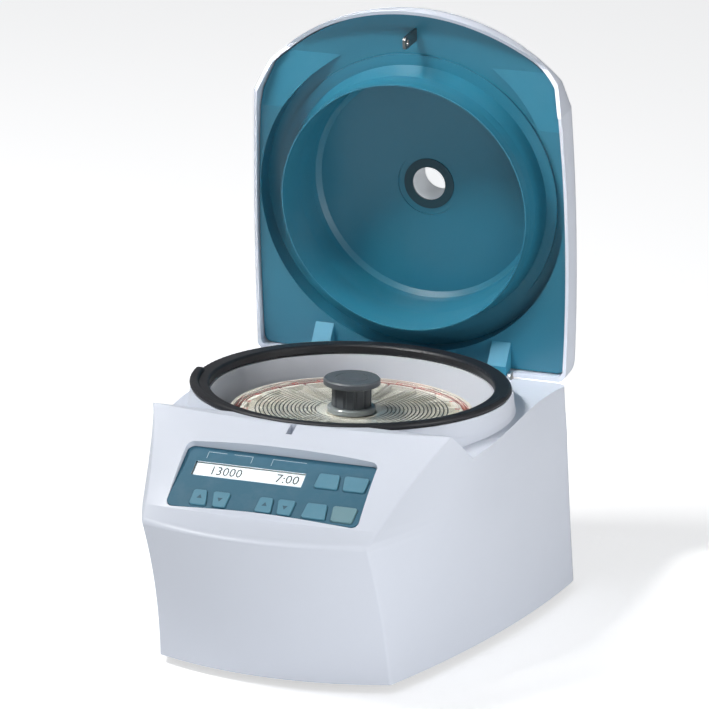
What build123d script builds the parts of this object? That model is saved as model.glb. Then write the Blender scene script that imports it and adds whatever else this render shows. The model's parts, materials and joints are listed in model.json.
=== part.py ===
from build123d import *
from collections import namedtuple
from math import atan2, cos, degrees, radians, sin
import os

# Hematocrit centrifuge with its lid open. Millimetres, +Z up, front towards -Y.
# Drawn about the rotor's axis and saved with the origin on the bench, under the
# middle of the whole object.

# Housing outline, given at five heights: half widths and depths of one outline
# front_x, front_y: front corner; bow: how far the front bulges past its corners
# flank_x, waist_x: half widths at flank_y and waist_y; back_x, back_y: rear corner
Level = namedtuple("Level", "z front_x front_y bow flank_x waist_x back_x back_y back_bow back_r")
flank_y = -75.0
waist_y = 20.0
front_r = 3.0
shell_bottom = 6.0
ridge_z = 115.0
top_z = 171.5
ridge_soft = 2.4
sill_bow = 4.5
sill_gap = 3.2
inner_bow = 2.5
foot_line = Level(shell_bottom, 84.0, -147.0, 17.5, 104.5, 122.5, 130.7, 131.0, 16.0, 22.0)
lower = Level(55.0, 82.2, -160.5, 17.0, 108.0, 121.0, 127.3, 129.0, 11.0, 18.0)
ridge = Level(ridge_z, 80.6, -190.2, 16.0, 112.5, 119.6, 123.0, 126.5, 4.5, 12.0)
brow = Level(143.0, 91.5, -147.0, 21.0, 114.6, 118.9, 120.5, 125.2, 1.5, 9.0)
crown = Level(top_z, 108.3, -102.7, 13.0, 116.4, 118.4, 118.6, 124.2, 0.5, 6.0)
wall = 3.0

# Where the rotor's axis stands, forwards or back of the origin
axis_y = 5.9

# Lid seat: the notch behind the panel's horns and the slightly arched deck
horn_y = crown.front_y
notch_y = -75.3
notch_z = 149.7
notch_r = 4.0
deck_rise = 3.9
deck_mid_y = 25.0
hinge_y = 124.1
hinge_z = 150.4
deck_back_z = 149.8
lid_open = 84.3
lid_gap = 0.6

# Collar, bowl and seal
collar_foot_r = 115.6
collar_foot_z = 151.5
collar_shoulder_r = 114.2
collar_shoulder_z = 157.2
collar_lip_r = 112.9
collar_top_z = 168.5
collar_under_z = 140.0
collar_bore_r = 101.5
seal_in_r = 99.7
seal_out_r = 111.7
seal_seat_z = 163.5
seal_top_z = 170.7
seal_lip_in_r = 107.0
seal_lip_out_r = 113.6
seal_lip_z = 173.2
seal_lip_arc = 174.0
bowl_wall = 1.5
bowl_rim_r = 99.2
bowl_low_r = 97.6
bowl_floor_z = 131.0
bowl_corner_r = 6.0
bowl_flange_r = 108.0
bowl_hole_r = 16.0

# Drive
shaft_r = 4.0
shaft_fit = 0.04
shaft_low_z = 54.0
shaft_top_z = 165.0
motor_r = 36.0
motor_low_z = 48.0
motor_top_z = 110.0
motor_boss_r = 14.0
motor_boss_z = 120.0
bearing_r = 8.0
bearing_h = 7.0
motor_plate_r = 58.0
motor_plate_t = 3.0
damper_r = 8.0
damper_ring_r = 47.0
damper_pin_r = 3.0

# Rotor
rotor_r = 85.7
rotor_rim_t = 2.4
rotor_low_z = 137.0
rotor_floor_t = 2.0
rotor_rib_z = 147.5
rotor_rim_z = 150.7
rotor_hub_r = 18.0
rotor_bed_r = 79.0
slot_count = 24
slot_w = 2.4
slot_depth = 4.5
slot_in_r = 27.0
slot_rib_t = 1.3
pocket_in_r = 36.0
pocket_out_r = 76.0
pocket_depth = 3.0
gasket_t = 2.0
cover_t = 2.2
cover_gap = 0.3
cover_rib_rs = (81.0, 77.5)
cover_rib_w = 1.2
cover_rib_h = 0.9
clear_collar_r = 17.0
clear_collar_h = 3.8
knob_r = 14.0
knob_cap_r = 20.0
knob_cap_t = 5.0
knob_top_z = 174.6
knob_ring_r = 11.0

# Lid, drawn closed and then turned open about the hinge
lid_corner_x = 108.5
lid_corner_y = -94.0
lid_apex_y = -140.0
lid_tip_x = 115.5
lid_waist_x = 119.2
lid_back_x = 117.6
lid_back_y = 123.4
lid_base_z = 149.0
lid_top_z = 228.0
shell_top_z = 226.8
lid_round_z = 165.0
lid_round_in = 70.0
lid_round_turns = (0, 20, 40, 55, 70, 82)
lid_mid_y = -8.0
lid_wall = 2.4
liner_gap = 0.8
liner_t = 2.5
field_z = 157.5
front_field_z = 173.0
field_bend_y = -62.0
field_front_y = -100.0
groove_out_r = 114.6
groove_step_r = 105.5
groove_wall_r = 115.4
groove_z = seal_top_z + 0.3
lip_groove_z = seal_lip_z + 0.3
bevel_r = 97.6
bevel_mid_r = 93.3
bevel_mid_z = 158.0
crest_r = 92.3
crest_in_r = 91.5
crest_bend_z = 150.0
crest_z = 140.3
cavity_mid_r = 90.0
cavity_mid_z = 172.0
cavity_floor_r = 87.5
cavity_floor_z = 197.2
port_r = 13.2
port_tube_t = 4.0
port_ring_r = 23.5
window_t = 3.0
liner_bosses = ((-98.0, 100.0, 160.0), (98.0, 100.0, 160.0), (-62.0, -112.0, 175.5), (62.0, -112.0, 175.5))

# Hinge
arm_x = 67.5
arm_w = 14.0
knuckle_r = 5.0
hinge_pin_r = 2.0
pin_fit = 0.05
ear_t = 2.5
ear_gap = 0.5
hinge_floor_z = 142.8
arm_root_y = 100.0
arm_bend_y = 114.5
arm_under_z = 145.6
arm_heel_y = 119.5
ear_front_y = 112.0

# Latch
hook_y = -120.0
hook_w = 9.0
hook_t = 2.0
hook_tip_z = 148.0
hook_hole_r = 2.4
hook_hole_z = 153.5
hook_seat_z = lip_groove_z + liner_t
slot_fit = 1.2
bolt_r = 1.9
bolt_rest_x = -4.0
bolt_len = 26.0
lock_w = 40.0
lock_d = 16.0
lock_low_z = 141.0
lock_top_z = 161.0

# Control panel
plate_w = 137.0
plate_h = 53.2
plate_t = 2.0
plate_r = 5.0
plate_mid = 41.8
plate_lift = 2.2
plate_fit = 0.25
plate_ledge = 1.0
key_fit = 0.35
key_rise = 1.4
key_travel = 0.8
key_flange = 0.9
key_lip = 0.8
key_r = 1.8
row_low = (-24.5, -11.3)
row_high = (2.5, 15.2)
display_x = (-59.5, 20.0)
display_y = (1.7, 14.3)
board_t = 1.6
board_depth = 7.0
board_posts = ((-61.0, -4.0), (24.6, -18.0), (-16.0, -18.0), (24.4, 19.0), (-20.0, 19.0))

# Base and electrics
base_t = 2.0
base_inset = 2.2
foot_r = 9.0
foot_places = ((-100.0, 95.0), (100.0, 95.0), (-72.0, -120.0), (72.0, -120.0))
boss_r = 6.0
foot_plug_r = 3.0
boss_places = ((-119.0, 100.0), (119.0, 100.0), (-76.0, -143.0), (76.0, -143.0))
screw_r = 1.5
screw_head_r = 3.2
screw_head_t = 1.4
hole_fit = 0.2
rear_w = 124.0
rear_h = 46.0
rear_mid_z = 39.0
rear_y = 131.0
rear_t = 2.0
inlet_x = -38.0
switch_x = 6.0
fuse_x = -14.0
switch_turn = 14.0
switch_w = 13.4
switch_h = 22.4
rocker_w = 10.4
rocker_end_r = 9.6
rocker_pin_r = 1.2
inlet_w = 27.0
inlet_h = 19.6
inlet_depth = 14.5
socket_depth = 16.0
inlet_pin_places = ((inlet_x - 7.0, -2.0), (inlet_x + 7.0, -2.0), (inlet_x, 2.0))
fuse_r = 6.0
vent_x = 39.0
board_x = 84.0
board_y = 12.0
board_w = 46.0
board_l = 104.0
board_parts = ((-8.0, 30.0, 20.0, 26.0, 22.0), (10.0, -20.0, 14.0, 30.0, 12.0),
               (-10.0, -25.0, 12.0, 12.0, 9.0))

tilt = atan2(crown.z - ridge.z, crown.front_y - ridge.front_y)
base_top = shell_bottom + base_t
pocket_w = arm_w + 2 * (ear_gap + ear_t) + 2
hinge_axis = Axis((0, hinge_y, hinge_z), (1, 0, 0))


def face_plane(along, lift):
    """Plane parallel to the control panel, at a distance up its slope and off it."""
    y = ridge.front_y + along * cos(tilt) - lift * sin(tilt)
    z = ridge.z + along * sin(tilt) + lift * cos(tilt)
    return Plane(origin=(0, y, z), x_dir=(1, 0, 0), z_dir=(0, -sin(tilt), cos(tilt)))


def between(low, high, z):
    """Outline at a height between two given ones."""
    share = (z - low.z) / (high.z - low.z)
    return Level(*[a + (b - a) * share for a, b in zip(low, high)])


def outline(level, inset=0.0, front_inset=0.0):
    """Closed outline of the housing at one height."""
    fx, fy = level.front_x - inset, level.front_y + front_inset
    bx, by = level.back_x - inset, level.back_y - inset
    side = [(fx, fy), (level.flank_x - inset, flank_y), (level.waist_x - inset, waist_y), (bx, by)]
    with BuildSketch(Plane.XY.offset(level.z)) as shape:
        with BuildLine():
            ThreePointArc((-fx, fy), (0, fy - level.bow), (fx, fy))
            Spline(*side)
            ThreePointArc((bx, by), (0, by + level.back_bow), (-bx, by))
            Spline(*[(-x, y) for x, y in reversed(side)])
        make_face()
        fillet(shape.vertices().group_by(Axis.Y)[0], front_r)
        fillet(shape.vertices().group_by(Axis.Y)[-1], level.back_r - inset)
    return shape.sketch


def lid_outline(z, inset):
    """Closed outline of the lid at one height, in the closed position."""
    share = 1 - inset / lid_waist_x

    def at(x, y):
        return x * share, lid_mid_y + (y - lid_mid_y) * share

    corner, tip = at(lid_corner_x, lid_corner_y), at(lid_tip_x, notch_y)
    waist, back = at(lid_waist_x, waist_y), at(lid_back_x, lid_back_y)
    with BuildSketch(Plane.XY.offset(z)) as shape:
        with BuildLine():
            ThreePointArc(at(-lid_corner_x, lid_corner_y), at(0, lid_apex_y), corner)
            Line(corner, tip)
            ThreePointArc(tip, waist, back)
            Line(back, at(-lid_back_x, lid_back_y))
            ThreePointArc(at(-lid_back_x, lid_back_y), at(-lid_waist_x, waist_y), at(-lid_tip_x, notch_y))
            Line(at(-lid_tip_x, notch_y), at(-lid_corner_x, lid_corner_y))
        make_face()
        fillet(shape.vertices().group_by(Axis.Y)[-1], 6.0 * share)
        fillet(shape.vertices().group_by(Axis.Y)[0], 4.0 * share)
    return shape.sketch


def save(piece, name):
    """Move a finished piece to the origin, label it and write it."""
    placed = piece.translate((0, axis_y, 0))
    placed.label = name
    export_step(placed, f"parts/{name}.step")


def save_on_lid(piece, name):
    """Turn a piece drawn on the closed lid to the open lid and write it."""
    save(piece.rotate(hinge_axis, -lid_open), name)


os.makedirs("parts", exist_ok=True)

# Space that the lid takes over the deck, without the collar
with BuildPart() as lid_seat:
    with BuildSketch(Plane.YZ) as seat_profile:
        with BuildLine():
            Line((horn_y, top_z + 40), (horn_y, top_z))
            Line((horn_y, top_z), (notch_y, notch_z))
            ThreePointArc((notch_y, notch_z), (deck_mid_y, notch_z + deck_rise), (hinge_y, deck_back_z))
            Line((hinge_y, deck_back_z), (hinge_y + 40, deck_back_z))
            Line((hinge_y + 40, deck_back_z), (hinge_y + 40, top_z + 40))
            Line((hinge_y + 40, top_z + 40), (horn_y, top_z + 40))
        make_face()
        notch_corner = seat_profile.vertices().sort_by_distance((0, notch_y, notch_z))[0]
        fillet(notch_corner, notch_r)
    extrude(amount=200, both=True)

# What lies under the line of the deck, carried out past the sides of the housing
with BuildPart() as under_deck:
    with Locations((0, horn_y, top_z)):
        Box(400, hinge_y + 40 - horn_y, 60, align=(Align.CENTER, Align.MIN, Align.MAX))
    add(lid_seat.part, mode=Mode.SUBTRACT)

with BuildPart() as collar_form:
    with BuildSketch(Plane.XZ):
        with BuildLine():
            Polyline((0, collar_under_z), (collar_foot_r, collar_under_z), (collar_foot_r, collar_foot_z),
                     (collar_shoulder_r, collar_shoulder_z), (collar_lip_r, collar_top_z),
                     (0, collar_top_z), (0, collar_under_z))
        make_face()
    revolve(axis=Axis.Z)

# The ridge is rounded by a short band between two heights near it
plate_top = face_plane(plate_mid, plate_lift)
sill_z = (plate_top * Pos(0, -plate_h / 2 - plate_fit - sill_gap, 0)).position.Z
sill = between(ridge, brow, sill_z)._replace(bow=sill_bow)
below_ridge = between(lower, ridge, ridge_z - ridge_soft)
above_ridge = between(ridge, sill, ridge_z + ridge_soft)
nose = ridge._replace(front_y=(below_ridge.front_y + ridge.front_y + above_ridge.front_y) / 3 - 0.4)

# Outer form of the housing, with notches, deck and collar
with BuildPart() as form:
    loft([outline(level) for level in (foot_line, lower, below_ridge)])
    loft([outline(level) for level in (below_ridge, nose, above_ridge)])
    loft([outline(level) for level in (above_ridge, sill)])
    loft([outline(level) for level in (sill, brow, crown)])
    add(lid_seat.part - collar_form.part, mode=Mode.SUBTRACT)
    with BuildSketch(Plane.XY.offset(collar_top_z)):
        Circle(seal_lip_out_r + 0.3)
    extrude(amount=10, mode=Mode.SUBTRACT)

# Inner space of the housing, with a nearly flat wall behind the control plate
panel_inset = wall / sin(tilt)
inner_top = between(brow, crown, top_z - 5.5)
panel_levels = [level._replace(bow=inner_bow) for level in (ridge, brow, inner_top)]
panel_space = [outline(level, wall, panel_inset) for level in panel_levels]
with BuildPart() as inside:
    loft([outline(level, wall, wall) for level in (foot_line, lower)] + panel_space[:1])
    loft(panel_space)
    add(lid_seat.part.translate((0, -wall * 0.5, -wall)), mode=Mode.SUBTRACT)
    with BuildSketch(Plane.XY.offset(collar_under_z)):
        Circle(collar_foot_r)
    extrude(amount=40, mode=Mode.SUBTRACT)
    for side in (-1, 1):
        with BuildSketch(Plane.XY.offset(hinge_floor_z - wall)):
            with Locations((side * arm_x, 108)):
                Rectangle(34, 40)
        extrude(amount=20, mode=Mode.SUBTRACT)

rear_plane = Plane(origin=(0, rear_y, rear_mid_z), x_dir=(-1, 0, 0), z_dir=(0, 1, 0))

with BuildPart() as housing:
    add(form.part)
    add(inside.part, mode=Mode.SUBTRACT)
    # bosses for the base screws
    with BuildSketch(Plane.XY.offset(base_top)):
        with Locations(*boss_places):
            Circle(boss_r)
    extrude(amount=22)
    # frame of the rear panel
    with BuildSketch(rear_plane.offset(-3)):
        Rectangle(rear_w + 2 * wall, rear_h + 2 * wall)
    extrude(amount=24)
    with BuildSketch(rear_plane):
        Rectangle(rear_w + 2 * plate_fit, rear_h + 2 * plate_fit)
    extrude(amount=40, mode=Mode.SUBTRACT)
    with BuildSketch(rear_plane.offset(-4)):
        Rectangle(rear_w - 2 * wall, rear_h - 2 * wall)
    extrude(amount=10, mode=Mode.SUBTRACT)
    # trim what reaches past the outer form, and the way in for the base plate
    add(form.part, mode=Mode.INTERSECT)
    extrude(outline(foot_line, base_inset, base_inset), amount=base_t, mode=Mode.SUBTRACT)
    # bowl opening, its ledge and the seat of the seal
    with BuildSketch(Plane.XY.offset(collar_under_z - 1)):
        Circle(collar_bore_r)
    extrude(amount=60, mode=Mode.SUBTRACT)
    with BuildSketch(Plane.XY.offset(seal_seat_z - bowl_wall)):
        Circle(bowl_flange_r + plate_fit)
    extrude(amount=60, mode=Mode.SUBTRACT)
    with BuildSketch(Plane.XY.offset(seal_seat_z)):
        Circle(seal_out_r + plate_fit)
    extrude(amount=60, mode=Mode.SUBTRACT)
    # recess and opening of the control plate
    with BuildSketch(plate_top.offset(-plate_t)):
        RectangleRounded(plate_w + 2 * plate_fit, plate_h + 2 * plate_fit, plate_r)
    extrude(amount=30, mode=Mode.SUBTRACT)
    with BuildSketch(plate_top.offset(-14)):
        Rectangle(plate_w - 2 * plate_ledge, plate_h - 2 * plate_ledge)
    extrude(amount=14, mode=Mode.SUBTRACT)
    # slot for the latch hook
    with BuildSketch(Plane.XY.offset(hook_tip_z - 10)):
        with Locations((0, hook_y)):
            Rectangle(hook_t + 2 * slot_fit, hook_w + 2 * slot_fit)
    extrude(amount=60, mode=Mode.SUBTRACT)
    # pocket for the lid lock
    with BuildSketch(Plane.XY.offset(collar_under_z - 1)):
        with Locations((0, hook_y)):
            Rectangle(lock_w + 0.5, lock_d + 0.5)
    extrude(amount=lock_top_z - collar_under_z + 1, mode=Mode.SUBTRACT)
    # pockets for the hinge arms and brackets
    for side in (-1, 1):
        with BuildSketch(Plane.XY.offset(hinge_floor_z)):
            with Locations((side * arm_x, hinge_y - 5)):
                Rectangle(pocket_w, 26)
        extrude(amount=30, mode=Mode.SUBTRACT)
    with BuildSketch(Plane.XY.offset(base_top)):
        with Locations(*boss_places):
            Circle(screw_r + pin_fit)
    extrude(amount=14, mode=Mode.SUBTRACT)
save(housing.part, "housing")

with BuildPart() as base_plate:
    extrude(outline(foot_line, base_inset + plate_fit, base_inset + plate_fit), amount=base_t)
    with BuildSketch(Plane.XY.offset(shell_bottom)):
        with Locations(*boss_places):
            Circle(screw_r + hole_fit)
        with Locations(*foot_places):
            Circle(foot_plug_r + shaft_fit)
        with Locations((0, 88)):
            with GridLocations(8, 0, 9, 1):
                SlotOverall(26, 3, rotation=90)
    extrude(amount=base_t, mode=Mode.SUBTRACT)
save(base_plate.part, "base_plate")

with BuildPart() as foot:
    with BuildSketch(Plane.XZ):
        with BuildLine():
            Polyline((0, 0), (foot_r - 1.5, 0), (foot_r, 1), (foot_r, shell_bottom),
                     (foot_plug_r, shell_bottom), (foot_plug_r, base_top), (foot_plug_r + 1.2, base_top),
                     (foot_plug_r, base_top + 2.2), (0, base_top + 2.2), (0, 0))
        make_face()
    revolve(axis=Axis.Z)
foot_names = ("foot_rear_left", "foot_rear_right", "foot_front_left", "foot_front_right")
for name, (x, y) in zip(foot_names, foot_places):
    save(foot.part.translate((x, y, 0)), name)

with BuildPart() as base_screws:
    for x, y in boss_places:
        with BuildSketch(Plane.XY.offset(shell_bottom - screw_head_t)):
            with Locations((x, y)):
                Circle(screw_head_r)
                Rectangle(3.6, 0.8, mode=Mode.SUBTRACT)
                Rectangle(0.8, 3.6, mode=Mode.SUBTRACT)
        extrude(amount=screw_head_t - 0.5)
        with BuildSketch(Plane.XY.offset(shell_bottom - 0.5)):
            with Locations((x, y)):
                Circle(screw_head_r)
        extrude(amount=0.5)
        with BuildSketch(Plane.XY.offset(shell_bottom)):
            with Locations((x, y)):
                Circle(screw_r)
        extrude(amount=base_t + 11)
save(base_screws.part, "base_screws")

# Bowl, seal and drive
with BuildPart() as bowl:
    with BuildSketch(Plane.XZ) as bowl_profile:
        with BuildLine():
            Polyline((bowl_hole_r, bowl_floor_z - bowl_wall), (bowl_low_r, bowl_floor_z - bowl_wall),
                     (bowl_rim_r + bowl_wall, seal_seat_z - bowl_wall),
                     (bowl_flange_r, seal_seat_z - bowl_wall),
                     (bowl_flange_r, seal_seat_z), (bowl_rim_r, seal_seat_z),
                     (bowl_low_r - bowl_wall, bowl_floor_z), (bowl_hole_r, bowl_floor_z),
                     (bowl_hole_r, bowl_floor_z - bowl_wall))
        make_face()
        low_corner = bowl_profile.vertices().sort_by_distance((bowl_low_r, 0, bowl_floor_z - bowl_wall))[0]
        fillet(low_corner, bowl_corner_r + bowl_wall)
        inner_corner = bowl_profile.vertices().sort_by_distance((bowl_low_r - bowl_wall, 0, bowl_floor_z))[0]
        fillet(inner_corner, bowl_corner_r)
    revolve(axis=Axis.Z)
save(bowl.part, "bowl")

with BuildPart() as seal_ring:
    with BuildSketch(Plane.XZ) as seal_profile:
        with Locations(((seal_in_r + seal_out_r) / 2, (seal_seat_z + seal_top_z) / 2)):
            Rectangle(seal_out_r - seal_in_r, seal_top_z - seal_seat_z)
        fillet(seal_profile.vertices().group_by(Axis.Z)[-1], 2.0)
    revolve(axis=Axis.Z)
    with BuildSketch(Plane.XZ) as lip_profile:
        with Locations(((seal_lip_in_r + seal_lip_out_r) / 2, (seal_top_z - 2 + seal_lip_z) / 2)):
            Rectangle(seal_lip_out_r - seal_lip_in_r, seal_lip_z - seal_top_z + 2)
        fillet(lip_profile.vertices().group_by(Axis.Z)[-1], 2.2)
    revolve(axis=Axis.Z, revolution_arc=-seal_lip_arc)
save(seal_ring.part, "seal_ring")

with BuildPart() as motor_plate:
    with BuildSketch(Plane.XY.offset(motor_low_z - motor_plate_t)):
        Circle(motor_plate_r)
        Circle(bearing_r + 3, mode=Mode.SUBTRACT)
        with PolarLocations(damper_ring_r, 3, start_angle=90):
            Circle(damper_pin_r + shaft_fit, mode=Mode.SUBTRACT)
    extrude(amount=motor_plate_t)
save(motor_plate.part, "motor_plate")

with BuildPart() as damper:
    with BuildSketch(Plane.XZ):
        with BuildLine():
            low, high = base_top, motor_low_z - motor_plate_t
            Line((0, low), (damper_r, low))
            ThreePointArc((damper_r, low), (damper_r - 2, (low + high) / 2), (damper_r, high))
            Polyline((damper_r, high), (damper_pin_r, high), (damper_pin_r, motor_low_z + 3),
                     (0, motor_low_z + 3), (0, low))
        make_face()
    revolve(axis=Axis.Z)
for index in range(3):
    angle = radians(90 + 120 * index)
    spot = (damper_ring_r * cos(angle), damper_ring_r * sin(angle), 0)
    save(damper.part.translate(spot), f"damper_{index + 1}")

with BuildPart() as motor_body:
    with BuildSketch(Plane.XY.offset(motor_low_z)):
        Circle(motor_r)
    extrude(amount=motor_top_z - motor_low_z)
    chamfer(motor_body.edges().filter_by(GeomType.CIRCLE).group_by(Axis.Z)[-1], 2)
    with BuildSketch(Plane.XY.offset(motor_top_z)):
        Circle(motor_boss_r)
    extrude(amount=motor_boss_z - motor_top_z)
    with BuildSketch(Plane.XY.offset(motor_low_z)):
        Circle(shaft_r + 1)
    extrude(amount=motor_boss_z - motor_low_z, mode=Mode.SUBTRACT)
    for low in (motor_low_z + 2, motor_boss_z - 2 - bearing_h):
        with BuildSketch(Plane.XY.offset(low)):
            Circle(bearing_r + shaft_fit)
        extrude(amount=bearing_h, mode=Mode.SUBTRACT)
save(motor_body.part, "motor_body")

with BuildPart() as bearing:
    with BuildSketch(Plane.XY):
        Circle(bearing_r)
        Circle(shaft_r + pin_fit, mode=Mode.SUBTRACT)
    extrude(amount=bearing_h)
save(bearing.part.translate((0, 0, motor_low_z + 2)), "bearing_lower")
save(bearing.part.translate((0, 0, motor_boss_z - 2 - bearing_h)), "bearing_upper")

with BuildPart() as shaft_seal:
    with BuildSketch(Plane.XZ):
        with BuildLine():
            under = bowl_floor_z - bowl_wall
            Polyline((motor_boss_r, motor_top_z + 2), (bowl_hole_r, motor_top_z + 2),
                     (bowl_hole_r, under - 2),
                     (bowl_hole_r + 2.5, under - 2), (bowl_hole_r + 2.5, under), (bowl_hole_r, under),
                     (bowl_hole_r, bowl_floor_z), (bowl_hole_r + 2.5, bowl_floor_z),
                     (bowl_hole_r, bowl_floor_z + 2), (motor_boss_r, bowl_floor_z + 2),
                     (motor_boss_r, motor_top_z + 2))
        make_face()
    revolve(axis=Axis.Z)
save(shaft_seal.part, "shaft_seal")

with BuildPart() as motor_shaft:
    with BuildSketch(Plane.XY.offset(shaft_low_z)):
        Circle(shaft_r)
    extrude(amount=shaft_top_z - shaft_low_z)
    chamfer(motor_shaft.edges().filter_by(GeomType.CIRCLE), 0.5)
save(motor_shaft.part, "motor_shaft")

# Rotor
rim_in_r = rotor_r - rotor_rim_t
with BuildPart() as rotor:
    with BuildSketch(Plane.XZ):
        with BuildLine():
            Polyline((shaft_r + shaft_fit, rotor_low_z), (rotor_r - 1, rotor_low_z),
                     (rotor_r, rotor_low_z + 1),
                     (rotor_r, rotor_rim_z), (rim_in_r, rotor_rim_z), (rim_in_r, rotor_low_z + rotor_floor_t),
                     (rotor_bed_r, rotor_low_z + rotor_floor_t), (rotor_bed_r, rotor_rib_z),
                     (rotor_hub_r, rotor_rib_z), (rotor_hub_r, rotor_rim_z - cover_t),
                     (shaft_r + shaft_fit, rotor_rim_z - cover_t), (shaft_r + shaft_fit, rotor_low_z))
        make_face()
    revolve(axis=Axis.Z)
    with BuildSketch(Plane.XY.offset(rotor_rib_z)):
        with PolarLocations((slot_in_r + rotor_bed_r + 1) / 2, slot_count):
            Rectangle(rotor_bed_r + 1 - slot_in_r, slot_w)
    extrude(amount=-slot_depth, mode=Mode.SUBTRACT)
    half = radians(180 / slot_count)
    rib_half = slot_w / 2 + slot_rib_t
    with BuildSketch(Plane.XY.offset(rotor_rib_z)):
        with PolarLocations(0, slot_count, start_angle=degrees(half)):
            inner_w = pocket_in_r * sin(half) - rib_half
            outer_w = pocket_out_r * sin(half) - rib_half
            Polygon((pocket_in_r, -inner_w), (pocket_out_r, -outer_w), (pocket_out_r, outer_w),
                    (pocket_in_r, inner_w), align=None)
    extrude(amount=-pocket_depth, mode=Mode.SUBTRACT)
save(rotor.part, "rotor")

with BuildPart() as rotor_gasket:
    with BuildSketch(Plane.XY.offset(rotor_low_z + rotor_floor_t)):
        Circle(rim_in_r)
        Circle(rim_in_r - gasket_t, mode=Mode.SUBTRACT)
    extrude(amount=rotor_rib_z - rotor_low_z - rotor_floor_t)
save(rotor_gasket.part, "rotor_gasket")

with BuildPart() as reading_cover:
    with BuildSketch(Plane.XY.offset(rotor_rim_z - cover_t)):
        Circle(rim_in_r - cover_gap)
        Circle(shaft_r + cover_gap, mode=Mode.SUBTRACT)
    extrude(amount=cover_t)
    with BuildSketch(Plane.XY.offset(rotor_rim_z)):
        for radius in cover_rib_rs:
            Circle(radius)
            Circle(radius - cover_rib_w, mode=Mode.SUBTRACT)
    extrude(amount=cover_rib_h)
save(reading_cover.part, "reading_cover")

with BuildPart() as clear_collar:
    with BuildSketch(Plane.XY.offset(rotor_rim_z)):
        Circle(clear_collar_r)
        Circle(shaft_r + cover_gap, mode=Mode.SUBTRACT)
    extrude(amount=clear_collar_h)
    chamfer(clear_collar.edges().filter_by(GeomType.CIRCLE).sort_by(SortBy.RADIUS)[-1], 0.8)
save(clear_collar.part, "clear_collar")

knob_low_z = rotor_rim_z + clear_collar_h + 0.3
cap_low_z = knob_top_z - knob_cap_t
with BuildPart() as knob:
    with BuildSketch(Plane.XZ):
        with BuildLine():
            Polyline((shaft_r + pin_fit, knob_low_z), (knob_r, knob_low_z), (knob_r, cap_low_z - 1),
                     (knob_cap_r - 1, cap_low_z), (knob_cap_r, cap_low_z + 0.8), (knob_cap_r, knob_top_z - 1),
                     (knob_cap_r - 1, knob_top_z), (knob_ring_r + 0.8, knob_top_z),
                     (knob_ring_r + 0.4, knob_top_z - 0.5), (knob_ring_r, knob_top_z), (0, knob_top_z),
                     (0, shaft_top_z + 0.5), (shaft_r + pin_fit, shaft_top_z + 0.5),
                     (shaft_r + pin_fit, knob_low_z))
        make_face()
    revolve(axis=Axis.Z)
    with BuildSketch(Plane.XY.offset(knob_low_z)):
        with PolarLocations(knob_r + 0.6, 12):
            Circle(1.4)
    extrude(amount=cap_low_z - 1 - knob_low_z, mode=Mode.SUBTRACT)
save(knob.part, "knob")


# Lid, in the closed position until it is saved
def lid_form(inset):
    """Outer form of the lid, or its inner space when inset."""
    rise = (shell_top_z - inset - lid_round_z) / sin(radians(lid_round_turns[-1]))
    rounds = []
    for turn in lid_round_turns:
        lean = radians(turn)
        rounds.append(lid_outline(lid_round_z + rise * sin(lean), inset + lid_round_in * (1 - cos(lean))))
    with BuildPart() as body:
        extrude(lid_outline(lid_base_z, inset), amount=lid_round_z - lid_base_z)
        loft(rounds)
    return body.part


def field_band(low, high):
    """Band that follows the liner's field across the lid, between two offsets."""
    with BuildPart() as band:
        with BuildSketch(Plane.YZ):
            with BuildLine():
                Polyline((lid_back_y, field_z + low), (field_bend_y, field_z + low),
                         (field_front_y, front_field_z + low), (lid_apex_y - 5, front_field_z + low),
                         (lid_apex_y - 5, front_field_z + high), (field_front_y, front_field_z + high),
                         (field_bend_y, field_z + high), (lid_back_y, field_z + high),
                         (lid_back_y, field_z + low))
            make_face()
        extrude(amount=160, both=True)
    return band.part


lid_outer = lid_form(0)
lid_inner = lid_form(lid_wall)
with BuildPart() as lid_shell:
    add(lid_outer)
    add(lid_inner, mode=Mode.SUBTRACT)
    # bosses that the liner is screwed to
    for x, y, low in liner_bosses:
        with BuildSketch(Plane.XY.offset(low)):
            with Locations((x, y)):
                Circle(4.5)
        extrude(amount=70)
    add(lid_outer, mode=Mode.INTERSECT)
    add(form.part.translate((0, 0, lid_gap)), mode=Mode.SUBTRACT)
    add(under_deck.part.translate((0, 0, lid_gap)), mode=Mode.SUBTRACT)
    for side in (-1, 1):
        with BuildSketch(Plane.XY.offset(lid_base_z - 1)):
            with Locations((side * arm_x, hinge_y - 2)):
                Rectangle(pocket_w, 10)
        extrude(amount=field_z - lid_base_z + 0.7, mode=Mode.SUBTRACT)
    with BuildSketch(Plane.XY.offset(shell_top_z - 10)):
        Circle(port_r + port_tube_t + 0.1)
    extrude(amount=20, mode=Mode.SUBTRACT)
save_on_lid(lid_shell.part, "lid_shell")

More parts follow.
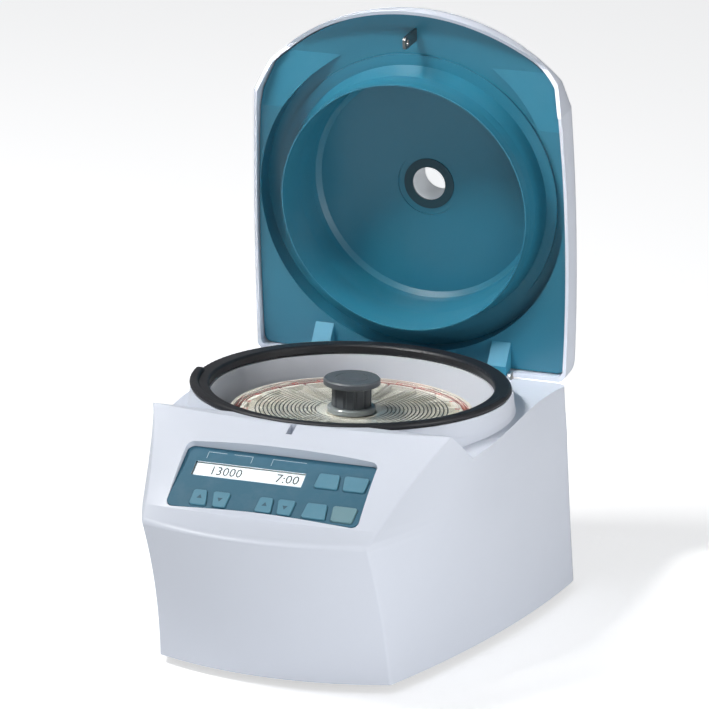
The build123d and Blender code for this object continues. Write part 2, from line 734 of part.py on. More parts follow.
port_out_r = port_r + port_tube_t
field_skin = field_band(0, liner_t)
under_field = field_band(-40, 0) - Cylinder(groove_out_r - 1, 400)
liner_room = lid_form(lid_wall + liner_gap)
with BuildPart() as lid_liner:
    add(liner_room)
    add(field_skin, mode=Mode.INTERSECT)
    with BuildSketch(Plane.XY.offset(lid_base_z)):
        Circle(groove_out_r + 0.3)
    extrude(amount=60, mode=Mode.SUBTRACT)
    with BuildSketch(Plane.XZ):
        with BuildLine():
            Polyline((port_out_r + 0.1, cavity_floor_z + 1), (port_ring_r, cavity_floor_z + 1),
                     (port_ring_r, cavity_floor_z), (cavity_floor_r - 5, cavity_floor_z),
                     (cavity_floor_r - 1.2, cavity_floor_z - 2.6), (cavity_floor_r, cavity_floor_z - 7),
                     (cavity_mid_r, cavity_mid_z), (crest_in_r, crest_z), (crest_r, crest_z),
                     (crest_r, crest_bend_z), (bevel_mid_r, bevel_mid_z), (bevel_r, groove_z),
                     (groove_step_r, groove_z), (groove_step_r, lip_groove_z),
                     (groove_out_r, lip_groove_z), (groove_out_r, lid_base_z), (groove_wall_r, lid_base_z),
                     (groove_wall_r, lip_groove_z + liner_t),
                     (groove_step_r - liner_t, lip_groove_z + liner_t),
                     (groove_step_r - liner_t, groove_z + liner_t),
                     (cavity_mid_r + liner_t + 0.5, groove_z + liner_t),
                     (cavity_floor_r + liner_t, cavity_floor_z - 7),
                     (cavity_floor_r - 3, cavity_floor_z + liner_t),
                     (port_ring_r + liner_t, cavity_floor_z + liner_t),
                     (port_ring_r + liner_t, cavity_floor_z + 1 + liner_t),
                     (port_out_r + 0.1, cavity_floor_z + 1 + liner_t), (port_out_r + 0.1, cavity_floor_z + 1))
        make_face()
    revolve(axis=Axis.Z)
    add(under_field, mode=Mode.SUBTRACT)
    with BuildSketch(Plane.XY.offset(front_field_z)):
        with Locations((0, hook_y)):
            Rectangle(hook_t + 0.1, hook_w + 0.1)
    extrude(amount=2 * liner_t, mode=Mode.SUBTRACT)
save_on_lid(lid_liner.part, "lid_liner")

with BuildPart() as latch_hook:
    with BuildSketch(Plane.YZ) as blade:
        with Locations((hook_y, (hook_tip_z + hook_seat_z) / 2)):
            Rectangle(hook_w, hook_seat_z - hook_tip_z)
        fillet(blade.vertices().group_by(Axis.Z)[0], 3)
        with Locations((hook_y, hook_hole_z)):
            Circle(hook_hole_r, mode=Mode.SUBTRACT)
    extrude(amount=hook_t / 2, both=True)
    with BuildSketch(Plane.XY.offset(hook_seat_z)):
        with Locations((0, hook_y)):
            Rectangle(16, hook_w)
    extrude(amount=hook_t)
save_on_lid(latch_hook.part, "latch_hook")

with BuildPart() as port_sleeve:
    with BuildSketch(Plane.XY.offset(cavity_floor_z + 1 + liner_t)):
        Circle(port_out_r)
        Circle(port_r, mode=Mode.SUBTRACT)
    extrude(amount=lid_top_z - cavity_floor_z - 1 - liner_t)
    with BuildSketch(Plane.XY.offset(shell_top_z)):
        Circle(port_out_r + 2)
        Circle(port_r, mode=Mode.SUBTRACT)
    extrude(amount=lid_top_z - shell_top_z)
save_on_lid(port_sleeve.part, "port_sleeve")

with BuildPart() as port_grommet:
    with BuildSketch(Plane.XZ):
        with BuildLine():
            seat = cavity_floor_z + 1
            Polyline((port_r - 0.8, seat - 0.8), (port_out_r + 1.6, seat - 0.8), (port_out_r + 1.6, seat),
                     (port_out_r, seat), (port_out_r, seat + liner_t), (port_r + 0.1, seat + liner_t),
                     (port_r + 0.1, seat + 0.4), (port_r - 0.8, seat + 0.4), (port_r - 0.8, seat - 0.8))
        make_face()
    revolve(axis=Axis.Z)
save_on_lid(port_grommet.part, "port_grommet")

with BuildPart() as port_window:
    with BuildSketch(Plane.XY.offset(cavity_floor_z + 1.4)):
        Circle(port_r)
    extrude(amount=window_t)
save_on_lid(port_window.part, "port_window")

# Hinges
for side, name in ((-1, "left"), (1, "right")):
    with BuildPart() as arm:
        with BuildSketch(Plane.YZ.offset(side * arm_x)) as arm_profile:
            with BuildLine():
                Polyline((arm_root_y, field_z), (arm_bend_y, arm_under_z), (hinge_y - 2, arm_under_z),
                         (hinge_y - 2, hinge_z + 2), (arm_heel_y, field_z), (arm_root_y, field_z))
            make_face()
            with Locations((hinge_y, hinge_z)):
                Circle(knuckle_r)
            with Locations((hinge_y, hinge_z)):
                Circle(hinge_pin_r + pin_fit, mode=Mode.SUBTRACT)
        extrude(amount=arm_w / 2, both=True)
    save_on_lid(arm.part, f"hinge_arm_{name}")

    with BuildPart() as bracket:
        for edge in (-1, 1):
            middle = side * arm_x + edge * (arm_w / 2 + ear_gap + ear_t / 2)
            with BuildSketch(Plane.YZ.offset(middle)):
                with BuildLine():
                    Polyline((ear_front_y, hinge_floor_z), (hinge_y + 1.5, hinge_floor_z),
                             (hinge_y + knuckle_r - 0.8, hinge_z), (hinge_y, hinge_z + 1),
                             (hinge_y - knuckle_r + 0.8, hinge_z), (ear_front_y, hinge_floor_z))
                make_face()
                with Locations((hinge_y, hinge_z)):
                    Circle(knuckle_r - 0.5)
                with Locations((hinge_y, hinge_z)):
                    Circle(hinge_pin_r + 0.02, mode=Mode.SUBTRACT)
            extrude(amount=ear_t / 2, both=True)
        with BuildSketch(Plane.XY.offset(hinge_floor_z)):
            with Locations((side * arm_x, (ear_front_y + hinge_y + 1.5) / 2)):
                Rectangle(arm_w + 2 * (ear_gap + ear_t), hinge_y + 1.5 - ear_front_y)
        extrude(amount=1.5)
    save(bracket.part, f"hinge_bracket_{name}")

    with BuildPart() as pin:
        with BuildSketch(Plane.YZ.offset(side * arm_x)):
            with Locations((hinge_y, hinge_z)):
                Circle(hinge_pin_r)
        extrude(amount=arm_w / 2 + ear_gap + ear_t + 0.4, both=True)
    save(pin.part, f"hinge_pin_{name}")

# Lid lock
with BuildPart() as lock_body:
    with BuildSketch(Plane.XY.offset(lock_low_z)):
        with Locations((0, hook_y)):
            Rectangle(lock_w, lock_d)
            Rectangle(hook_t + 2 * slot_fit, hook_w + 2 * slot_fit, mode=Mode.SUBTRACT)
    extrude(amount=lock_top_z - lock_low_z)
    with BuildSketch(Plane.YZ.offset(-lock_w / 2)):
        with Locations((hook_y, hook_hole_z)):
            Circle(bolt_r + 0.1)
    extrude(amount=lock_w - 6, mode=Mode.SUBTRACT)
save(lock_body.part, "lock_body")

with BuildPart() as lock_bolt:
    with BuildSketch(Plane.YZ.offset(bolt_rest_x)):
        with Locations((hook_y, hook_hole_z)):
            Circle(bolt_r)
    extrude(amount=-bolt_len)
    chamfer(lock_bolt.edges().filter_by(GeomType.CIRCLE).group_by(Axis.X)[-1], 0.5)
    with BuildSketch(Plane.YZ.offset(bolt_rest_x - bolt_len)):
        with Locations((hook_y, hook_hole_z)):
            Circle(bolt_r + 2)
    extrude(amount=-2)
save(lock_bolt.part, "lock_bolt")

# Control panel
Key = namedtuple("Key", "name top_left top_right low_left low_right row")
keys = (
    Key("key_speed_up", -51.9, -42.7, -51.9, -39.8, row_low),
    Key("key_speed_down", -38.0, -25.6, -35.2, -26.1, row_low),
    Key("key_time_up", -4.3, 5.0, -5.3, 6.7, row_low),
    Key("key_time_down", 8.6, 21.2, 11.1, 20.5, row_low),
    Key("key_select", 29.4, 43.4, 28.3, 45.5, row_low),
    Key("key_stop", 47.7, 65.1, 49.4, 64.3, row_low),
    Key("key_short", 29.8, 44.2, 28.8, 45.9, row_high),
    Key("key_start", 47.6, 65.5, 49.7, 64.9, row_high),
)


def key_shape(key, lift, grow):
    """Outline of a key, or of its opening, at a height over the plate."""
    low, high = key.row
    with BuildSketch(plate_top.offset(lift)) as shape:
        with BuildLine():
            Polyline((key.low_left - grow, low - grow), (key.low_right + grow, low - grow),
                     (key.top_right + grow, high + grow), (key.top_left - grow, high + grow), close=True)
        make_face()
        fillet(shape.vertices(), key_r + grow)
    return shape.sketch


with BuildPart() as control_plate:
    with BuildSketch(plate_top.offset(-plate_t)):
        RectangleRounded(plate_w, plate_h, plate_r)
        with Locations((sum(display_x) / 2, sum(display_y) / 2)):
            Rectangle(display_x[1] - display_x[0], display_y[1] - display_y[0], mode=Mode.SUBTRACT)
    extrude(amount=plate_t)
    for key in keys:
        extrude(key_shape(key, -plate_t, key_fit), amount=plate_t, mode=Mode.SUBTRACT)
    with BuildSketch(plate_top.offset(-board_depth)):
        with Locations(*board_posts):
            Circle(1.6)
    extrude(amount=board_depth - plate_t)
save(control_plate.part, "control_plate")

flange_top = -plate_t - 0.1
for key in keys:
    with BuildPart() as cap:
        extrude(key_shape(key, flange_top, 0), amount=key_rise - flange_top)
        chamfer(cap.faces().sort_by(Axis((0, 0, 0), tuple(plate_top.z_dir)))[-1].edges(), 0.4)
        extrude(key_shape(key, flange_top, key_lip), amount=-key_flange)
        with BuildSketch(plate_top.offset(flange_top)):
            with Locations(((key.low_left + key.low_right) / 2, sum(key.row) / 2)):
                Circle(1.6)
        extrude(amount=-(board_depth + flange_top - key_travel - 0.3))
    save(cap.part, key.name)

with BuildPart() as display_window:
    with BuildSketch(plate_top.offset(-1.8)):
        with Locations((sum(display_x) / 2, sum(display_y) / 2)):
            Rectangle(display_x[1] - display_x[0] - 0.1, display_y[1] - display_y[0] - 0.1)
    extrude(amount=1.5)
save(display_window.part, "display_window")

with BuildPart() as display_module:
    with BuildSketch(plate_top.offset(-board_depth)):
        with Locations((sum(display_x) / 2, sum(display_y) / 2)):
            Rectangle(display_x[1] - display_x[0] - 1, display_y[1] - display_y[0] - 1)
    extrude(amount=board_depth - plate_t)
save(display_module.part, "display_module")

with BuildPart() as key_board:
    with BuildSketch(plate_top.offset(-board_depth - board_t)):
        RectangleRounded(plate_w - 2 * plate_ledge - 6, plate_h - 2 * plate_ledge - 3, 2)
    extrude(amount=board_t)
save(key_board.part, "key_board")

# Electrics
with BuildPart() as main_board:
    with BuildSketch(Plane.XY.offset(base_top)):
        with Locations((board_x, board_y)):
            with GridLocations(board_w - 8, board_l - 8, 2, 2):
                Circle(2.5)
    extrude(amount=8)
    with BuildSketch(Plane.XY.offset(base_top + 8)):
        with Locations((board_x, board_y)):
            Rectangle(board_w, board_l)
    extrude(amount=board_t)
    for dx, dy, width, length, height in board_parts:
        with BuildSketch(Plane.XY.offset(base_top + 8 + board_t)):
            with Locations((board_x + dx, board_y + dy)):
                Rectangle(width, length)
        extrude(amount=height)
save(main_board.part, "main_board")

with BuildPart() as transformer:
    with BuildSketch(Plane.XY.offset(base_top)):
        with Locations((-board_x, 15)):
            Rectangle(44, 66)
    extrude(amount=3)
    with BuildSketch(Plane.XY.offset(base_top + 3)):
        with Locations((-board_x, 15)):
            Rectangle(44, 48)
    extrude(amount=38)
    with BuildSketch(Plane.XY.offset(base_top + 9)) as winding:
        with Locations((-board_x, 15)):
            Rectangle(30, 62)
        fillet(winding.vertices(), 8)
    extrude(amount=26)
save(transformer.part, "transformer")

with BuildPart() as rear_panel:
    with BuildSketch(rear_plane):
        RectangleRounded(rear_w, rear_h, 1)
        with Locations((inlet_x, 0)):
            Rectangle(inlet_w + 0.2, inlet_h + 0.2, mode=Mode.SUBTRACT)
        with Locations((fuse_x, 0)):
            Circle(fuse_r + 0.1, mode=Mode.SUBTRACT)
        with Locations((switch_x, 0)):
            Rectangle(switch_w + 0.2, switch_h + 0.2, mode=Mode.SUBTRACT)
        with Locations((vent_x, 0)):
            with GridLocations(5, 0, 7, 1):
                SlotOverall(30, 2.6, rotation=90, mode=Mode.SUBTRACT)
    extrude(amount=rear_t)
save(rear_panel.part, "rear_panel")

with BuildPart() as power_inlet:
    with BuildSketch(rear_plane.offset(-inlet_depth)):
        with Locations((inlet_x, 0)):
            Rectangle(inlet_w, inlet_h)
    extrude(amount=inlet_depth + rear_t)
    with BuildSketch(rear_plane.offset(rear_t)):
        with Locations((inlet_x, 0)):
            RectangleRounded(inlet_w + 4, inlet_h + 4, 2)
    extrude(amount=2)
    with BuildSketch(rear_plane.offset(rear_t + 2)) as socket:
        with Locations((inlet_x, 0)):
            Rectangle(inlet_w - 3, inlet_h - 3.4)
        chamfer(socket.vertices().group_by(Axis.Z)[0], 4)
    extrude(amount=-socket_depth, mode=Mode.SUBTRACT)
    with BuildSketch(rear_plane.offset(-inlet_depth)):
        with Locations(*inlet_pin_places):
            Rectangle(2, 4)
    extrude(amount=inlet_depth, mode=Mode.SUBTRACT)
save(power_inlet.part, "power_inlet")

with BuildPart() as inlet_pins:
    with BuildSketch(rear_plane.offset(-inlet_depth - 6)):
        with Locations(*inlet_pin_places):
            Rectangle(2, 4)
    extrude(amount=inlet_depth + 6 + rear_t + 2 - 5)
save(inlet_pins.part, "inlet_pins")

with BuildPart() as fuse_holder:
    with BuildSketch(rear_plane.offset(-18)):
        with Locations((fuse_x, 0)):
            Circle(fuse_r)
    extrude(amount=18 + rear_t)
    with BuildSketch(rear_plane.offset(rear_t)):
        with Locations((fuse_x, 0)):
            Circle(fuse_r + 2)
    extrude(amount=4)
    with BuildSketch(rear_plane.offset(rear_t + 4)):
        with Locations((fuse_x, 0)):
            Rectangle(1.4, 9)
    extrude(amount=-1.5, mode=Mode.SUBTRACT)
save(fuse_holder.part, "fuse_holder")

rocker_axis = Axis((0, rear_y + rear_t, rear_mid_z), (1, 0, 0))
rocker_plane = Plane(origin=(-switch_x, rear_y + rear_t, rear_mid_z), x_dir=(0, 0, 1), z_dir=(-1, 0, 0))
with BuildPart() as power_switch_frame:
    with BuildSketch(rear_plane.offset(-12)):
        with Locations((switch_x, 0)):
            Rectangle(switch_w, switch_h)
    extrude(amount=12 + rear_t)
    with BuildSketch(rear_plane.offset(rear_t)):
        with Locations((switch_x, 0)):
            RectangleRounded(switch_w + 3, switch_h + 3, 1.5)
    extrude(amount=1.5)
    with BuildSketch(rear_plane.offset(-9)):
        with Locations((switch_x, 0)):
            Rectangle(rocker_w + 0.8, 2 * rocker_end_r + 0.6)
    extrude(amount=20, mode=Mode.SUBTRACT)
    with BuildSketch(rocker_plane):
        Circle(rocker_pin_r + pin_fit)
    extrude(amount=rocker_w / 2 + 1, both=True, mode=Mode.SUBTRACT)
save(power_switch_frame.part, "power_switch_frame")

with BuildPart() as power_switch:
    with BuildSketch(rocker_plane):
        with BuildLine():
            end_x = rocker_end_r * cos(radians(20))
            end_y = rocker_end_r * sin(radians(20))
            Polyline((-end_x, end_y), (0, 1.6), (end_x, end_y))
            ThreePointArc((end_x, end_y), (rocker_end_r, 0), (end_x, -end_y))
            Polyline((end_x, -end_y), (4, -5), (-4, -5), (-end_x, -end_y))
            ThreePointArc((-end_x, -end_y), (-rocker_end_r, 0), (-end_x, end_y))
        make_face()
    extrude(amount=rocker_w / 2, both=True)
    with BuildSketch(rocker_plane):
        Circle(rocker_pin_r)
    extrude(amount=rocker_w / 2 + 0.8, both=True)
save(power_switch.part.rotate(rocker_axis, -switch_turn / 2), "power_switch")
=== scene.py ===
import json
from math import cos, pi, radians, sin

import bmesh
import bpy
from mathutils import Matrix, Vector


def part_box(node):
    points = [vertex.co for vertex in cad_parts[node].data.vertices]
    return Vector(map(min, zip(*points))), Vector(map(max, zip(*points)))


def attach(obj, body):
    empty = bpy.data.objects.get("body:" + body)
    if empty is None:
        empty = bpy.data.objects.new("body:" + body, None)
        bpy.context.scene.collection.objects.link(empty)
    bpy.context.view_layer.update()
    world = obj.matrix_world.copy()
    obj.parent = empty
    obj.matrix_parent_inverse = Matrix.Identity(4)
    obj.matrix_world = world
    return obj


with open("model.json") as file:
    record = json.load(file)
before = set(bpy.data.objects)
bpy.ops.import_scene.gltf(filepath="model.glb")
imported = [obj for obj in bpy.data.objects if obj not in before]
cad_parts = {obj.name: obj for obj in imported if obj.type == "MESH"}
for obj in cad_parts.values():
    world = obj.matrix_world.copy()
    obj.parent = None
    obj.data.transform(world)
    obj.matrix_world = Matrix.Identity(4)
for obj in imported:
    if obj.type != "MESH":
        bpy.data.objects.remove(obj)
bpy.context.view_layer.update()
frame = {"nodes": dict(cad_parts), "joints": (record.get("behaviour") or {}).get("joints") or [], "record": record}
nodes = frame["nodes"]

# Where the rotor's axis stands behind the origin, in metres
AXIS_Y = 0.0059


# Camera at the photograph's angle

camera_data = bpy.data.cameras.new("photo_camera")
camera_data.sensor_width = 36.0
camera_data.lens = 249.94
camera_data.shift_x = -0.00085
camera_data.shift_y = 0.0059
camera_data.clip_end = 40.0
camera = bpy.data.objects.new("photo_camera", camera_data)
bpy.context.scene.collection.objects.link(camera)
camera.matrix_world = Matrix((
    (0.94040242, -0.10567072, 0.32322901, 1.112919),
    (0.33970325, 0.24815972, -0.90720365, -3.117825 + AXIS_Y),
    (0.01565245, 0.96293845, 0.26926668, 1.113736),
    (0.0, 0.0, 0.0, 1.0),
))
bpy.context.scene.camera = camera
bpy.context.scene.view_settings.view_transform = "Standard"


# Shared effects, as node groups

def new_group(name, inputs, outputs):
    """Empty shader node group with its sockets; returns tree, input node, output node."""
    group = bpy.data.node_groups.new(name, "ShaderNodeTree")
    for socket, kind, value in inputs:
        made = group.interface.new_socket(socket, in_out="INPUT", socket_type=kind)
        made.default_value = value
    for socket, kind in outputs:
        group.interface.new_socket(socket, in_out="OUTPUT", socket_type=kind)
    entry = group.nodes.new("NodeGroupInput")
    leave = group.nodes.new("NodeGroupOutput")
    return group, entry, leave


def moulded_grain():
    """Fine spark-eroded grain of moulded plastic, and slow cloudy variation."""
    group, entry, leave = new_group(
        "moulded_grain",
        (("Grain Size", "NodeSocketFloat", 900.0), ("Cloud Size", "NodeSocketFloat", 9.0)),
        (("Height", "NodeSocketFloat"), ("Clouds", "NodeSocketFloat")),
    )
    place = group.nodes.new("ShaderNodeTexCoord")
    cells = group.nodes.new("ShaderNodeTexVoronoi")
    cells.feature = "SMOOTH_F1"
    fine = group.nodes.new("ShaderNodeTexNoise")
    fine.inputs["Detail"].default_value = 3.0
    clouds = group.nodes.new("ShaderNodeTexNoise")
    clouds.inputs["Detail"].default_value = 5.0
    clouds.inputs["Roughness"].default_value = 0.55
    blend = group.nodes.new("ShaderNodeMath")
    blend.operation = "ADD"
    for texture in (cells, fine, clouds):
        group.links.new(place.outputs["Object"], texture.inputs["Vector"])
    group.links.new(entry.outputs["Grain Size"], cells.inputs["Scale"])
    group.links.new(entry.outputs["Grain Size"], fine.inputs["Scale"])
    group.links.new(entry.outputs["Cloud Size"], clouds.inputs["Scale"])
    group.links.new(cells.outputs["Distance"], blend.inputs[0])
    group.links.new(fine.outputs["Fac"], blend.inputs[1])
    group.links.new(blend.outputs[0], leave.inputs["Height"])
    group.links.new(clouds.outputs["Fac"], leave.inputs["Clouds"])
    return group


def settled_dust():
    """Mask of faint dust and finger marks that lies on upward faces."""
    group, entry, leave = new_group(
        "settled_dust",
        (("Amount", "NodeSocketFloat", 0.2), ("Size", "NodeSocketFloat", 60.0)),
        (("Mask", "NodeSocketFloat"),),
    )
    place = group.nodes.new("ShaderNodeTexCoord")
    shape = group.nodes.new("ShaderNodeNewGeometry")
    split = group.nodes.new("ShaderNodeSeparateXYZ")
    specks = group.nodes.new("ShaderNodeTexNoise")
    specks.inputs["Detail"].default_value = 8.0
    specks.inputs["Roughness"].default_value = 0.7
    sharpen = group.nodes.new("ShaderNodeMapRange")
    sharpen.inputs["From Min"].default_value = 0.45
    sharpen.inputs["From Max"].default_value = 0.75
    upward = group.nodes.new("ShaderNodeMapRange")
    upward.inputs["From Min"].default_value = -0.2
    upward.inputs["From Max"].default_value = 1.0
    both = group.nodes.new("ShaderNodeMath")
    both.operation = "MULTIPLY"
    scaled = group.nodes.new("ShaderNodeMath")
    scaled.operation = "MULTIPLY"
    group.links.new(place.outputs["Object"], specks.inputs["Vector"])
    group.links.new(entry.outputs["Size"], specks.inputs["Scale"])
    group.links.new(specks.outputs["Fac"], sharpen.inputs["Value"])
    group.links.new(shape.outputs["Normal"], split.inputs[0])
    group.links.new(split.outputs["Z"], upward.inputs["Value"])
    group.links.new(sharpen.outputs["Result"], both.inputs[0])
    group.links.new(upward.outputs["Result"], both.inputs[1])
    group.links.new(both.outputs[0], scaled.inputs[0])
    group.links.new(entry.outputs["Amount"], scaled.inputs[1])
    group.links.new(scaled.outputs[0], leave.inputs["Mask"])
    return group


def brushed_lines():
    """Long fine scratches along one direction, for drawn and ground metal."""
    group, entry, leave = new_group(
        "brushed_lines",
        (("Stretch", "NodeSocketVector", (40.0, 40.0, 1600.0)),),
        (("Height", "NodeSocketFloat"),),
    )
    place = group.nodes.new("ShaderNodeTexCoord")
    mapping = group.nodes.new("ShaderNodeMapping")
    lines = group.nodes.new("ShaderNodeTexNoise")
    lines.inputs["Scale"].default_value = 1.0
    lines.inputs["Detail"].default_value = 4.0
    group.links.new(place.outputs["Object"], mapping.inputs["Vector"])
    group.links.new(entry.outputs["Stretch"], mapping.inputs["Scale"])
    group.links.new(mapping.outputs["Vector"], lines.inputs["Vector"])
    group.links.new(lines.outputs["Fac"], leave.inputs["Height"])
    return group


GRAIN = moulded_grain()
DUST = settled_dust()
BRUSH = brushed_lines()


# Materials

def put_group(tree, group, **values):
    """Places a shared effect in a material with its own values."""
    made = tree.nodes.new("ShaderNodeGroup")
    made.node_tree = group
    for socket, value in values.items():
        made.inputs[socket.replace("_", " ")].default_value = value
    return made


def two_tone(tree, factor, first, second):
    """Mix of two colours by a factor socket."""
    mix = tree.nodes.new("ShaderNodeMix")
    mix.data_type = "RGBA"
    tree.links.new(factor, mix.inputs["Factor"])
    mix.inputs["A"].default_value = (*first, 1.0)
    mix.inputs["B"].default_value = (*second, 1.0)
    return mix.outputs["Result"]


def spread(tree, value, low, high, start=0.3, stop=0.7):
    """Map of a mask onto a range of values."""
    ranged = tree.nodes.new("ShaderNodeMapRange")
    ranged.inputs["From Min"].default_value = start
    ranged.inputs["From Max"].default_value = stop
    ranged.inputs["To Min"].default_value = low
    ranged.inputs["To Max"].default_value = high
    tree.links.new(value, ranged.inputs["Value"])
    return ranged.outputs["Result"]


def raise_surface(tree, shader, height, depth, strength=0.5):
    """Bump of a height, in metres of depth, into the shader's normal."""
    bump = tree.nodes.new("ShaderNodeBump")
    bump.inputs["Strength"].default_value = strength
    bump.inputs["Distance"].default_value = depth
    tree.links.new(height, bump.inputs["Height"])
    tree.links.new(bump.outputs["Normal"], shader.inputs["Normal"])


def new_finish(name):
    """Material with its Principled shader."""
    finish = bpy.data.materials.new(name)
    finish.use_nodes = True
    shader = finish.node_tree.nodes["Principled BSDF"]
    return finish, finish.node_tree, shader


def moulded(name, light, shade, rough, grain, depth, dust, coat=0.0):
    """Moulded plastic or rubber with grain, cloudy tone and faint dust."""
    finish, tree, shader = new_finish(name)
    effect = put_group(tree, GRAIN, Grain_Size=grain)
    dusty = put_group(tree, DUST, Amount=dust)
    tone = two_tone(tree, effect.outputs["Clouds"], light, shade)
    top = tree.nodes.new("ShaderNodeMix")
    top.data_type = "RGBA"
    tree.links.new(dusty.outputs["Mask"], top.inputs["Factor"])
    tree.links.new(tone, top.inputs["A"])
    top.inputs["B"].default_value = (0.62, 0.62, 0.62, 1.0)
    tree.links.new(top.outputs["Result"], shader.inputs["Base Color"])
    tree.links.new(spread(tree, effect.outputs["Clouds"], *rough), shader.inputs["Roughness"])
    raise_surface(tree, shader, effect.outputs["Height"], depth)
    shader.inputs["Coat Weight"].default_value = coat
    shader.inputs["Coat Roughness"].default_value = 0.25
    return finish


def metal(name, light, shade, rough, stretch=(40.0, 40.0, 1600.0)):
    """Metal with fine lines along one direction."""
    finish, tree, shader = new_finish(name)
    lines = put_group(tree, BRUSH, Stretch=stretch)
    effect = put_group(tree, GRAIN, Grain_Size=300.0, Cloud_Size=40.0)
    tree.links.new(two_tone(tree, effect.outputs["Clouds"], light, shade), shader.inputs["Base Color"])
    tree.links.new(spread(tree, lines.outputs["Height"], *rough), shader.inputs["Roughness"])
    shader.inputs["Metallic"].default_value = 1.0
    raise_surface(tree, shader, lines.outputs["Height"], depth=0.00002, strength=0.35)
    return finish


def clear(name, tint, rough):
    """Clear acrylic with faint smears in its gloss, which lets most light through to what is behind."""
    finish, tree, shader = new_finish(name)
    effect = put_group(tree, GRAIN, Grain_Size=120.0, Cloud_Size=30.0)
    pale = tuple(min(1.0, value * 1.03) for value in tint)
    tree.links.new(two_tone(tree, effect.outputs["Clouds"], tint, pale), shader.inputs["Base Color"])
    tree.links.new(spread(tree, effect.outputs["Clouds"], rough, rough + 0.02), shader.inputs["Roughness"])
    shader.inputs["Transmission Weight"].default_value = 1.0
    shader.inputs["IOR"].default_value = 1.22
    rays = tree.nodes.new("ShaderNodeLightPath")
    let_through = tree.nodes.new("ShaderNodeMapRange")
    let_through.inputs["To Min"].default_value = 1.0
    let_through.inputs["To Max"].default_value = 0.08
    tree.links.new(rays.outputs["Is Shadow Ray"], let_through.inputs["Value"])
    tree.links.new(let_through.outputs["Result"], shader.inputs["Alpha"])
    return finish


# Plastics, rubbers and paints, in this order: lighter and darker tone, least and greatest roughness,
# fineness of the grain, its depth in metres, dust, and where one is given a glossy coat
PLASTICS = {
    "body_white": ((0.71, 0.75, 0.83), (0.68, 0.72, 0.80), (0.38, 0.46), 1400.0, 0.00003, 0.05),
    "lid_teal": ((0.026, 0.185, 0.275), (0.021, 0.165, 0.250), (0.30, 0.38), 1300.0, 0.00003, 0.03, 0.30),
    "plate_teal": ((0.026, 0.140, 0.215), (0.021, 0.122, 0.192), (0.38, 0.46), 1500.0, 0.00002, 0.05),
    "key_teal": ((0.095, 0.275, 0.370), (0.080, 0.245, 0.340), (0.40, 0.50), 1600.0, 0.00002, 0.05),
    "seal_black": ((0.010, 0.010, 0.013), (0.014, 0.015, 0.018), (0.42, 0.52), 700.0, 0.00005, 0.02),
    "foot_black": ((0.020, 0.020, 0.021), (0.030, 0.030, 0.031), (0.6, 0.75), 500.0, 0.00008, 0.20),
    "bowl_paint": ((0.66, 0.68, 0.73), (0.61, 0.63, 0.69), (0.32, 0.42), 500.0, 0.00003, 0.06, 0.1),
    "knob_grey": ((0.095, 0.108, 0.120), (0.080, 0.090, 0.100), (0.36, 0.46), 1200.0, 0.00004, 0.10),
    "rotor_cream": ((0.72, 0.69, 0.60), (0.66, 0.62, 0.53), (0.35, 0.5), 800.0, 0.00003, 0.05),
    "gasket_red": ((0.33, 0.07, 0.045), (0.27, 0.055, 0.04), (0.5, 0.6), 600.0, 0.00004, 0.12),
    "black_plastic": ((0.022, 0.022, 0.024), (0.030, 0.030, 0.032), (0.4, 0.5), 900.0, 0.00004, 0.12),
    "panel_paint": ((0.60, 0.61, 0.64), (0.55, 0.56, 0.60), (0.45, 0.55), 400.0, 0.00006, 0.12),
    "board_green": ((0.012, 0.10, 0.045), (0.010, 0.085, 0.04), (0.3, 0.4), 700.0, 0.00002, 0.12),
    "iron_dark": ((0.05, 0.05, 0.055), (0.07, 0.065, 0.06), (0.45, 0.6), 300.0, 0.00006, 0.12),
    "display_face": ((0.64, 0.67, 0.68), (0.60, 0.63, 0.65), (0.25, 0.3), 900.0, 0.00001, 0.0),
    "print_pale": ((0.50, 0.62, 0.68), (0.45, 0.57, 0.64), (0.4, 0.5), 900.0, 0.00001, 0.0),
    "mark_blue": ((0.035, 0.115, 0.165), (0.030, 0.100, 0.150), (0.4, 0.5), 900.0, 0.00001, 0.0),
    "ink_dark": ((0.008, 0.009, 0.010), (0.010, 0.011, 0.013), (0.4, 0.5), 900.0, 0.00001, 0.0),
    "scale_ink": ((0.055, 0.065, 0.062), (0.045, 0.055, 0.052), (0.4, 0.5), 900.0, 0.00001, 0.0),
    "print_red": ((0.50, 0.05, 0.05), (0.42, 0.04, 0.04), (0.4, 0.5), 900.0, 0.00001, 0.0),
    "key_stop_teal": ((0.170, 0.320, 0.360), (0.140, 0.285, 0.330), (0.40, 0.50), 1600.0, 0.00002, 0.05),
    # The port grommet is the lid's teal darkened, which is painted shade from inside the port's tube
    "grommet_teal_painted_shade": ((0.010, 0.050, 0.072), (0.014, 0.058, 0.080), (0.45, 0.55), 900.0, 0.00003, 0.04),
    "sleeve_white": ((0.90, 0.91, 0.92), (0.87, 0.88, 0.90), (0.35, 0.45), 900.0, 0.00002, 0.02),
    "arm_teal": ((0.045, 0.270, 0.400), (0.035, 0.245, 0.370), (0.50, 0.58), 1300.0, 0.00003, 0.0),
    "collar_pale": ((0.30, 0.33, 0.33), (0.26, 0.29, 0.29), (0.10, 0.16), 900.0, 0.00001, 0.0),
}

